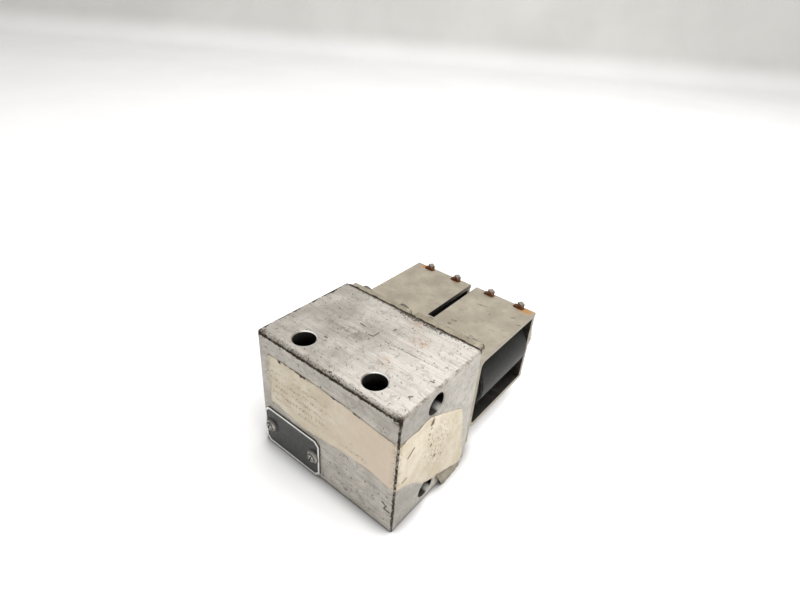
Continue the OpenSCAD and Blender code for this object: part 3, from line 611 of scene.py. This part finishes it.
def paint_nut():
    """Plated nut: turned rings, old grime in the flutes and round the bore."""
    p = Paint("nut_metal", metallic=0.4, roughness=0.45)
    lo, hi = box_mm("ring_nut_right")
    rim = (hi.x - lo.x) / 2
    tube_lo, tube_hi = box_mm("core_tube_right")
    bore = (tube_hi.x - tube_lo.x) / 2
    far = p.math("MINIMUM", *[p.away((axis_x, 0, AXIS_Z), (1, 0, 1)) for axis_x in AXES_X])
    cloud = p.noise(5, 5, 0.65, seed=4)
    ragged = p.noise(1.2, 5, 0.7, seed=24)
    rings = p.math("SINE", p.mul(far, 9.0))
    colour = p.mix(rgb(138, 132, 121), rgb(170, 164, 153), p.step(cloud, 0.35, 0.65))
    colour = p.shade(colour, p.step(rings, -1.0, 1.0, 0.94, 1.04))
    inner = p.add(far, p.mul(ragged, 1.6))
    flutes = p.mul(p.fall(inner, rim - 0.9, rim - 0.2), p.step(inner, rim - 1.8, rim - 1.2))
    mouth = p.step(inner, bore + 1.0, bore + 2.6, 0.8, 0.0)
    stain = p.mul(p.step(p.noise(2.2, 6, 0.75, seed=14), 0.56, 0.7), 0.45)
    grime = p.most(p.mul(flutes, 0.85), mouth, stain)
    colour = p.mix(colour, rgb(52, 46, 39), grime)
    return p.finish(colour, p.add(0.42, p.mul(grime, 0.35)), p.add(p.mul(rings, 0.3), grime), 0.03)


def paint_screw(node, outwards, heads, dark, light, seed):
    """Dull plated screws with painted shade in the recess and round the rim, and specks of dirt.

    outwards is the heads' side along Y, heads are their centres in X and Z."""
    p = Paint(node + "_metal", metallic=0.5, roughness=0.4)
    lo, hi = box_mm(node)
    crown = lo.y if outwards < 0 else hi.y
    sunk = p.mul(p.sub(crown, p.y), outwards)
    far = 99.0
    for x, z in heads:
        far = p.math("MINIMUM", far, p.away((x, 0, z), (1, 0, 1)))
    cloud = p.noise(1.6, 5, 0.65, seed=seed)
    ragged = p.noise(0.9, 5, 0.7, seed=seed + 1)
    colour = p.mix(dark, light, p.step(cloud, 0.35, 0.65))
    # painted shade in the recess and round the rim of each head
    recess = p.mul(p.fall(far, 2.3, 2.5), p.step(sunk, 0.4, 0.6))
    rim = p.mul(p.step(p.add(far, p.mul(ragged, 1.0)), 3.2, 3.9), 0.7)
    # dirt holds that painted shade and the specks of dirt
    dirt = p.most(p.mul(recess, 0.9), rim, p.mul(p.step(ragged, 0.56, 0.68), 0.6))
    colour = p.mix(colour, rgb(44, 40, 35), dirt)
    return p.finish(colour, p.add(0.34, p.mul(dirt, 0.4)), cloud, 0.05)


def paint_nameplate():
    """Dark satin field with fine wear, painted shadows beside the screw heads, and a bare bright rim."""
    p = Paint("nameplate_paint", metallic=0.2, roughness=0.4)
    p.shader.inputs["Specular IOR Level"].default_value = 0.3
    heads_lo, heads_hi = box_mm("nameplate_screws")
    head_z = (heads_lo.z + heads_hi.z) / 2
    rim_y = box_mm("nameplate")[0].y + 0.16
    brushed = p.noise(0.35, 3, 0.6, X_LINES, seed=9)
    worn = p.noise(2.2, 6, 0.7, seed=19)
    field = p.mix(rgb(46, 48, 46), rgb(66, 68, 65), p.step(worn, 0.4, 0.7))
    marks = p.scratches((0.5, 0, 0.9), (0.9, 0, -0.5), 1.8, 0.1, 3, 0.33, seed=6)
    field = p.mix(field, rgb(128, 127, 123), p.mul(p.most(marks, p.specks(2.2, 0.09, 5)), 0.5))
    # painted shadow: a dark crescent beside each screw head, towards the upper right
    head_shadow = 0.0
    for head_x in (heads_lo.x + NAME_HEAD_R, heads_hi.x - NAME_HEAD_R):
        far = p.away((head_x + 1.4, 0, head_z + 1.4), (1, 0, 1))
        head_shadow = p.most(head_shadow, p.fall(far, 3.9, 4.5))
    field = p.mix(field, rgb(9, 9, 9), p.mul(head_shadow, 0.95))
    bare = p.mix(rgb(206, 204, 198), rgb(232, 230, 225), p.step(brushed, 0.3, 0.7))
    bare = p.mix(bare, rgb(120, 115, 106), p.mul(p.step(worn, 0.6, 0.7), 0.6))
    raised = p.fall(p.y, rim_y - 0.03, rim_y + 0.03)
    colour = p.mix(field, bare, raised)
    return p.finish(colour, p.step(raised, 0, 1, 0.42, 0.3), brushed, 0.02, p.step(raised, 0, 1, 0.1, 0.3))


def paint_label():
    """Aged cream paper: fibres, print rubbed down to soft flecks in rows, stains, dirt, and painted shade
    on the side.
    """
    p = Paint("label_paper", roughness=0.75)
    p.shader.inputs["Specular IOR Level"].default_value = 0.2
    fibre = p.noise(0.7, 4, 0.7, (0.6, 1, 1.4), seed=3)
    cloud = p.noise(9, 5, 0.6, seed=13)
    ragged = p.noise(1.1, 5, 0.7, seed=53)
    front = p.fall(p.x, SIDE_X - 1.2, SIDE_X - 0.6)
    side = p.invert(front)
    colour = p.mix(rgb(196, 184, 162), rgb(210, 201, 183), p.step(cloud, 0.35, 0.65))
    colour = p.mix(colour, rgb(204, 188, 170), p.mul(front, p.step(p.x, -5.0, 30.0, 0.0, 0.8)))
    colour = p.shade(colour, p.step(fibre, 0.25, 0.75, 0.95, 1.04))
    worn = p.step(p.noise(1.6, 6, 0.75, (1, 1, 0.5), seed=63), 0.52, 0.66)
    worn = p.mul(worn, p.add(p.mul(side, 0.14), 0.1))
    colour = p.mix(colour, rgb(150, 134, 108), worn)
    # painted shade: the side part darker, most towards the bottom
    colour = p.shade(colour, p.sub(1.01, p.mul(side, p.step(p.z, 16.0, 50.0, 0.17, 0.05))))
    # what is left of the print: pale flecks in rows, with no shape of their own
    rows = p.step(p.math("SINE", p.mul(p.z, 2 * math.pi / PRINT_PITCH)), -0.7, 0.7, 0.15, 1.0)
    flecks = p.step(p.noise(0.8, 3, 0.75, (1, 1, 0.8), seed=73), 0.48, 0.58)
    printed = p.mul(p.step(p.x, -34.0, -32.0), p.fall(p.x, -2.0, 8.0), p.step(p.z, 30, 33))
    printed = p.mul(printed, p.fall(p.z, 50.5, 52))
    second = p.mul(p.step(p.x, 8, 12), p.fall(p.x, 24, 27), p.near(p.z, 33, 3.5))
    printed = p.most(printed, second)
    faded = p.step(p.noise(3.4, 4, 0.7, seed=79), 0.4, 0.56, 0.35, 1.0)
    colour = p.mix(colour, rgb(132, 117, 95), p.mul(rows, flecks, faded, printed, front, 0.75))
    # stains below the upper port, single scratches and specks
    stains = 0.0
    for y, z, size in STAINS:
        far = p.add(p.away((0, y, z), (0, 1, 0.8)), p.mul(ragged, 4.4))
        spot = p.fall(far, size + 1.5, size + 2.4)
        stains = p.most(stains, spot)
    freckle = p.step(p.noise(1.3, 5, 0.75, seed=43), 0.535, 0.585)
    freckle = p.mul(freckle, p.blob((SIDE_X, 0, 31), 18, (0.2, 1, 0.8)))
    colour = p.mix(colour, rgb(84, 58, 34), p.mul(p.most(p.mul(stains, 0.9), p.mul(freckle, 0.75)), side))
    single = p.most(p.stroke((SIDE_X, -21.2, 40.9), (SIDE_X, -17.7, 43.6), 0.8),
                    p.stroke((SIDE_X, -23.5, 28.3), (SIDE_X, -21.0, 28.9), 0.65),
                    p.stroke((SIDE_X, -27.6, 52.2), (SIDE_X, -24.6, 52.0), 0.6))
    specks = p.most(p.specks(4.5, 0.1, 15), p.specks(9, 0.08, 25))
    colour = p.mix(colour, rgb(74, 56, 38), p.mul(p.most(p.mul(single, side), p.mul(specks, 0.7)), 0.8))
    # broken dark line along the front part's upper edge
    bow = p.math("ADD", p.x, 20.0)
    edge_z = p.sub(56.3, p.mul(bow, bow, 0.00095))
    bold = p.mul(p.step(p.noise(6.0, 3, 0.6, (1, 0.01, 0.01), seed=89), 0.5, 0.62), 1.1)
    below = p.sub(p.sub(edge_z, p.z), bold)
    upper = p.fall(p.add(below, p.mul(p.sub(ragged, 0.5), 1.2)), 0.2, 0.6)
    broken = p.step(p.noise(5.0, 2, 0.6, (1, 0.01, 0.01), seed=83), 0.46, 0.52)
    colour = p.mix(colour, rgb(34, 26, 18), p.mul(upper, broken, front, 0.92))
    # dirt along the fold at the upright corner
    across = p.gap(SIDE_X, p.x)
    corner = p.add(across, p.gap(p.y, FRONT_Y))
    fold = p.fall(p.add(corner, p.mul(p.sub(ragged, 0.5), 2.6)), 0.45, 0.75)
    colour = p.mix(colour, rgb(38, 28, 18), p.mul(fold, DIRT_COVER))
    soot = p.mul(p.step(corner, 1.0, 4.0, 0.5, 0.0), p.step(ragged, 0.42, 0.6))
    colour = p.mix(colour, rgb(112, 92, 66), p.mul(soot, p.invert(fold)))
    return p.finish(colour, 0.75, p.add(fibre, p.mul(ragged, 0.3)), 0.04)


def paint_scrap():
    """The dirty underside of the torn strip that hangs from the label."""
    p = Paint("scrap_paper", roughness=0.8)
    fibre = p.noise(0.6, 4, 0.7, seed=3)
    cloud = p.noise(4, 4, 0.6, seed=13)
    colour = p.mix(rgb(112, 105, 91), rgb(136, 129, 114), p.step(cloud, 0.35, 0.65))
    return p.finish(colour, 0.8, fibre, 0.05)


def paint_grime():
    """Oily dirt pressed out of the seam behind the block."""
    p = Paint("seam_grime", roughness=0.6)
    p.shader.inputs["Specular IOR Level"].default_value = 0.2
    lumps = p.noise(1.0, 6, 0.7, seed=3)
    colour = p.mix(rgb(26, 20, 14), rgb(72, 60, 44), p.step(lumps, 0.42, 0.66))
    return p.finish(colour, p.step(lumps, 0.3, 0.7, 0.45, 0.75), lumps, 0.15)


def paint_rubber():
    """Dull black rubber with a little bloom."""
    p = Paint("seal_rubber", roughness=0.7)
    bloom = p.noise(0.8, 5, 0.7, seed=3)
    colour = p.mix(rgb(26, 26, 26), rgb(52, 51, 49), p.step(bloom, 0.4, 0.7))
    return p.finish(colour, 0.7, bloom, 0.02)


def paint_floor():
    """Pale matt paper with a painted contact shadow round the object, greyer where it rises behind it."""
    p = Paint("floor_paper", roughness=0.9)
    tone = p.noise(180, 3, 0.5, seed=1)
    colour = p.mix(rgb(246, 246, 246), rgb(250, 250, 250), p.step(tone, 0.3, 0.7))
    # painted contact shadow: darker where the object stands close
    nearby = p.node("ShaderNodeAmbientOcclusion", samples=16)
    nearby.inputs["Distance"].default_value = 9.0 * MM
    contact_shadow = p.step(nearby.outputs["AO"], 0.35, 0.98, 0.75, 0.0)
    colour = p.mix(colour, rgb(92, 90, 86), contact_shadow)
    wall = p.step(p.z, 4.0, 60.0)
    colour = p.mix(colour, p.mix(rgb(208, 207, 203), rgb(216, 215, 211), p.step(tone, 0.3, 0.7)), wall)
    return p.finish(colour, 0.9)


# ---------------------------------------------------------------- pieces
def smooth(mesh, angle=35):
    """Shades a mesh smooth, with sharp edges kept above the angle in degrees."""
    bm = bmesh.new()
    bm.from_mesh(mesh)
    for face in bm.faces:
        face.smooth = True
    for edge in bm.edges:
        edge.smooth = len(edge.link_faces) < 2 or edge.calc_face_angle() < math.radians(angle)
    bm.to_mesh(mesh)
    bm.free()


def piece(name, verts_mm, faces, material, body="valve"):
    """A mesh piece in the part's frame that rides on a body."""
    mesh = bpy.data.meshes.new(name)
    mesh.from_pydata([Vector(v) * MM for v in verts_mm], [], faces)
    mesh.validate()
    mesh.materials.append(material)
    made = bpy.data.objects.new(name, mesh)
    bpy.context.scene.collection.objects.link(made)
    smooth(mesh)
    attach(made, body)
    return made


# Outline of the label in its own plane: run along the front and round the corner, and height
LABEL_OUTLINE = [(-33.7, 56.1), (-17, 56.3), (-0.8, 55.9), (15.3, 55), (30.8, 53.2), (40, 52.7),
                 (51.8, 51.9), (59.4, 53), (67, 49.4), (84.9, 39.9), (86.4, 36.5), (89.3, 23),
                 (92.2, 7.2), (91, 1.2), (88, 1.0), (80.6, 3.2), (70, 8.1), (58.6, 13.8),
                 (53.6, 19.3), (46.2, 24.4), (40, 26.4), (27, 29.1), (13, 28.7), (-2, 26.7),
                 (-13, 25.8), (-26, 28), (-33.8, 28.6)]
FOLD_R = 0.9


def ragged_outline(points, pitch, jitter, rng):
    """The outline cut into short stretches that wander a little, as torn paper does."""
    made = []
    for (s0, z0), (s1, z1) in zip(points, points[1:] + points[:1]):
        count = max(1, round(math.hypot(s1 - s0, z1 - z0) / pitch))
        for i in range(count):
            t = i / count
            made.append(Vector((s0 + t * (s1 - s0) + rng.uniform(-jitter, jitter),
                                z0 + t * (z1 - z0) + rng.uniform(-jitter, jitter))))
    return made


def wrap(s, z, proud):
    """Point of the label's plane on the block: along the front, round the corner, up the side."""
    arc = FOLD_R * math.pi / 2
    turn = SIDE_X - FOLD_R
    if s < turn:
        return Vector((s, FRONT_Y - proud, z))
    if s < turn + arc:
        a = (s - turn) / FOLD_R
        r = FOLD_R + proud
        return Vector((turn + r * math.sin(a), FRONT_Y + FOLD_R - r * math.cos(a), z))
    return Vector((SIDE_X + proud, FRONT_Y + FOLD_R + s - turn - arc, z))


def inside(q, outline):
    """True if the point q is inside the closed outline."""
    odd = False
    for a, b in zip(outline, outline[1:] + outline[:1]):
        if (a.y > q.y) != (b.y > q.y) and q.x < a.x + (q.y - a.y) / (b.y - a.y) * (b.x - a.x):
            odd = not odd
    return odd


def build_label(material):
    """Paper label: a triangulated sheet with lifted edges, thickened outwards."""
    rng = random.Random(4)
    outline = ragged_outline(LABEL_OUTLINE, 1.2, 0.12, rng)
    count = len(outline)
    grid, start, width, height = 1.6, -34.5, 128, 58
    inner = []
    for i in range(int(width / grid)):
        for j in range(int(height / grid)):
            q = Vector((start + grid * (i + 0.5 * (j % 2)), grid * j))
            if inside(q, outline) and min((q - o).length for o in outline) > 0.9:
                inner.append(q)
    edges = [(i, (i + 1) % count) for i in range(count)]
    points, _, faces, *_ = delaunay_2d_cdt(outline + inner, edges, [], 1, 1e-5)
    verts = []
    for q in points:
        rim = min((q - o).length for o in outline)
        lift = 0.12 + 0.1 * max(0.0, 1 - rim / 2.0) * (1 + math.sin(q.x * 0.7) * math.cos(q.y * 0.9))
        hang = max(0.0, min(1.0, (q.x - 74) / 14)) * max(0.0, min(1.0, (16 - q.y) / 14))
        lift += 0.9 * hang * hang
        verts.append(wrap(q.x, q.y, lift))
    made = piece("paper_label", verts, [list(f) for f in faces], material)
    sheet = made.modifiers.new("paper", "SOLIDIFY")
    sheet.thickness = 0.1 * MM
    sheet.offset = -1
    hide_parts("rating_label")


def build_scrap(material):
    """Torn strip below the label's side part: it hangs loose down to the floor."""
    top = [(40.3, 2.6, 8.6), (40.3, 9.0, 5.8), (40.4, 15.0, 3.6), (40.5, 21.5, 2.2)]
    foot = [(42.0, 6.6, 0.15), (42.0, 11.5, 0.15), (41.8, 16.5, 0.15), (41.4, 21.2, 0.15)]
    rows, cols = 8, 24
    verts = []
    for j in range(rows + 1):
        t = j / rows
        for i in range(cols + 1):
            u = i / cols * (len(top) - 1)
            k = min(int(u), len(top) - 2)
            a = Vector(top[k]).lerp(Vector(top[k + 1]), u - k)
            b = Vector(foot[k]).lerp(Vector(foot[k + 1]), u - k)
            q = a.lerp(b, t)
            q.x += 0.35 * math.sin(math.pi * t) + 0.12 * math.sin(i * 0.9 + j * 0.6)
            verts.append(q)
    faces = []
    for j in range(rows):
        for i in range(cols):
            near = j * (cols + 1) + i
            far = near + cols + 1
            faces.append((near, near + 1, far + 1, far))
    made = piece("label_scrap", verts, faces, material)
    sheet = made.modifiers.new("paper", "SOLIDIFY")
    sheet.thickness = 0.12 * MM


def build_seam_grime(material):
    """Lumpy bead of dirt along the top of the seam between the block and the flanges."""
    rng = random.Random(9)
    verts, faces = [], []
    sides, steps = 8, 150
    x0, x1 = BLOCK_LO.x + 1.5, FLANGE_HI.x + 0.4
    for i in range(steps + 1):
        t = i / steps
        x = x0 + t * (x1 - x0)
        swell = 0.26 + 0.14 * abs(math.sin(x * 0.8) * math.cos(x * 0.31)) + rng.uniform(-0.06, 0.12)
        if i in (0, steps):
            swell = 0.02
        y = BACK_Y + 0.1 + 0.12 * math.sin(x * 0.5) + rng.uniform(-0.06, 0.06)
        z = TOP_Z - 0.45 + 0.12 * math.sin(x * 1.1)
        for k in range(sides):
            a = 2 * math.pi * k / sides
            verts.append((x, y + swell * 1.5 * math.cos(a), z + swell * math.sin(a)))
    for i in range(steps):
        for k in range(sides):
            n = (k + 1) % sides
            faces.append((i * sides + k, i * sides + n, (i + 1) * sides + n, (i + 1) * sides + k))
    faces.append(tuple(range(sides)))
    faces.append(tuple(reversed(range(steps * sides, (steps + 1) * sides))))
    made = piece("seam_grime", verts, faces, material)
    rounding = made.modifiers.new("round", "SUBSURF")
    rounding.levels = 1
    rounding.render_levels = 1


# ---------------------------------------------------------------- CAD nodes
# Width in mm of the rounding on each node's hard edges, and the angle in degrees that counts as hard
BEVELS = {"valve_body": 0.25, "nameplate": 0.12, "solenoid_yoke": 0.2, "flange_left": 0.3,
          "flange_right": 0.3, "coil_left": 0.3, "coil_right": 0.3, "ring_nut_left": 0.2,
          "ring_nut_right": 0.2, "flange_screws": 0.2, "rear_plate_left": 0.12,
          "rear_plate_right": 0.12}
BEVEL_ANGLE = 40


def bevel(node, width_mm):
    """A small rounding on a CAD node's hard edges."""
    made = NODES[node].modifiers.new("edge", "BEVEL")
    made.width = width_mm * MM
    made.segments = 2
    made.limit_method = "ANGLE"
    made.angle_limit = math.radians(BEVEL_ANGLE)


def dress(material, *nodes):
    """Gives CAD nodes a material in every slot."""
    for name in nodes:
        mesh = NODES[name].data
        if not mesh.materials:
            mesh.materials.append(material)
        for i in range(len(mesh.materials)):
            mesh.materials[i] = material


def both(name):
    """The left and the right node of a pair."""
    return f"{name}_left", f"{name}_right"


def dress_cad():
    steel = rgb(198, 195, 188)
    dress(paint_block(), "valve_body")
    dress(paint_flange(), *both("flange"))
    dress(paint_yoke(), "solenoid_yoke")
    dress(paint_rear_plate(), *both("rear_plate"))
    black = rgb(18, 18, 17)
    dress(paint_moulding("coil_moulding", black, rgb(30, 29, 27), 0.42, 2), *both("coil"))
    dress(paint_moulding("bobbin_moulding", rgb(14, 13, 12), black, 0.5, 12, 0.05), *both("bobbin"))
    grey = rgb(30, 30, 29)
    dress(paint_moulding("terminal_moulding", grey, rgb(44, 43, 41), 0.45, 22), *both("terminal_block"))
    dress(paint_nut(), *both("ring_nut"))
    dress(paint_nameplate(), "nameplate")
    lo, hi = box_mm("nameplate_screws")
    heads = [(x, (lo.z + hi.z) / 2) for x in (lo.x + NAME_HEAD_R, hi.x - NAME_HEAD_R)]
    bright = rgb(178, 175, 168)
    dress(paint_screw("nameplate_screws", -1, heads, rgb(126, 123, 117), bright, 3), "nameplate_screws")
    lo, hi = box_mm("flange_screws")
    rows = (lo.z + FLANGE_HEAD_R, hi.z - FLANGE_HEAD_R)
    heads = [(x + dx, z) for x in AXES_X for dx in (-FLANGE_SCREW_DX, FLANGE_SCREW_DX) for z in rows]
    dull = rgb(164, 157, 143)
    dress(paint_screw("flange_screws", 1, heads, rgb(132, 126, 113), dull, 23), "flange_screws")
    dress(paint_turned("plug_metal", steel, 0.4, 2), "gallery_plugs")
    dress(paint_turned("tube_metal", steel, 0.32, 4), *both("core_tube"))
    dress(paint_turned("pole_metal", rgb(160, 160, 158), 0.4, 6), *both("pole_piece"))
    dress(paint_turned("plunger_metal", rgb(176, 175, 172), 0.3, 8), *both("plunger"))
    dress(paint_turned("pin_metal", rgb(210, 209, 206), 0.2, 10), *both("push_pin"))
    dress(paint_turned("spool_metal", rgb(206, 205, 200), 0.2, 12), *both("spool"))
    dress(paint_turned("spring_metal", rgb(170, 170, 172), 0.3, 14), *both("return_spring"))
    dress(paint_turned("button_metal", rgb(205, 184, 132), 0.35, 16), *both("override_button"))
    dress(paint_turned("blade_metal", rgb(214, 206, 180), 0.35, 18), "terminal_blades")
    dress(paint_turned("copper_wire", rgb(186, 106, 58), 0.35, 20), *both("winding"))
    dress(paint_rubber(), "tube_seals")


# ---------------------------------------------------------------- stage
OVERHEAD_WATTS = 16
RIGHT_WATTS = 4
SURROUND_COLOUR = (1.0, 0.99, 0.98, 1)
SURROUND_STRENGTH = 0.55
# Camera: place in mm, the directions it was turned by in degrees, and lens and sensor in mm
CAMERA_PLACE = (115.75, -137.29, 201.31)
CAMERA_AZIMUTH = 36.386
CAMERA_TILT = 32.458
CAMERA_ROLL = 4.481
CAMERA_LENS = 23.458
CAMERA_SENSOR = 36.0


def build_stage():
    """Pale floor that sweeps up into a backdrop behind the object."""
    half, near, far, rise, bend = 3.0, -1.2, 1.35, 1.6, 0.12
    profile = [(near, 0.0), (far - bend, 0.0)]
    profile += [(far - bend + bend * math.sin(a), bend - bend * math.cos(a))
                for a in (math.radians(15 * k) for k in range(1, 7))]
    profile.append((far, rise))
    mesh = bpy.data.meshes.new("floor")
    verts = [(x, y, z) for y, z in profile for x in (-half, half)]
    faces = [(2 * i, 2 * i + 1, 2 * i + 3, 2 * i + 2) for i in range(len(profile) - 1)]
    mesh.from_pydata(verts, [], faces)
    mesh.materials.append(paint_floor())
    smooth(mesh, 60)
    floor = bpy.data.objects.new("floor", mesh)
    floor.rotation_euler.z = math.radians(CAMERA_AZIMUTH)
    bpy.context.scene.collection.objects.link(floor)


def area_light(name, place, target, size, power):
    """A rectangular lamp at a place in metres, turned to face the target."""
    lamp = bpy.data.lights.new(name, "AREA")
    lamp.shape = "RECTANGLE"
    lamp.size, lamp.size_y = size
    lamp.energy = power
    made = bpy.data.objects.new(name, lamp)
    made.location = place
    made.rotation_euler = (Vector(target) - Vector(place)).to_track_quat("-Z", "Y").to_euler()
    bpy.context.scene.collection.objects.link(made)


def build_lights():
    """A large soft lamp overhead, a weaker one from the right, and an even pale surround."""
    area_light("overhead", (0.25, 0.25, 1.1), (0, 0.03, 0), (1.2, 1.2), OVERHEAD_WATTS)
    area_light("right", (1.0, -0.2, 0.6), (0, 0, 0.03), (0.8, 0.8), RIGHT_WATTS)
    world = bpy.data.worlds.new("studio")
    world.use_nodes = True
    background = world.node_tree.nodes["Background"]
    background.inputs[0].default_value = SURROUND_COLOUR
    background.inputs[1].default_value = SURROUND_STRENGTH
    bpy.context.scene.world = world
    bpy.context.scene.view_settings.view_transform = "Standard"
    bpy.context.scene.view_settings.look = "None"


def build_camera():
    data = bpy.data.cameras.new("camera")
    data.lens = CAMERA_LENS
    data.sensor_width = CAMERA_SENSOR
    data.clip_start = 0.01
    made = bpy.data.objects.new("camera", data)
    bpy.context.scene.collection.objects.link(made)
    turn = Matrix.Rotation(math.radians(CAMERA_AZIMUTH), 4, "Z")
    tilt = Matrix.Rotation(math.radians(90 - CAMERA_TILT), 4, "X")
    roll = Matrix.Rotation(math.radians(CAMERA_ROLL), 4, "Z")
    made.matrix_world = Matrix.Translation(Vector(CAMERA_PLACE) * MM) @ turn @ tilt @ roll
    bpy.context.scene.camera = made


build_camera()
build_stage()
build_lights()
dress_cad()
for node, width in BEVELS.items():
    bevel(node, width)
build_label(paint_label())
build_scrap(paint_scrap())
build_seam_grime(paint_grime())
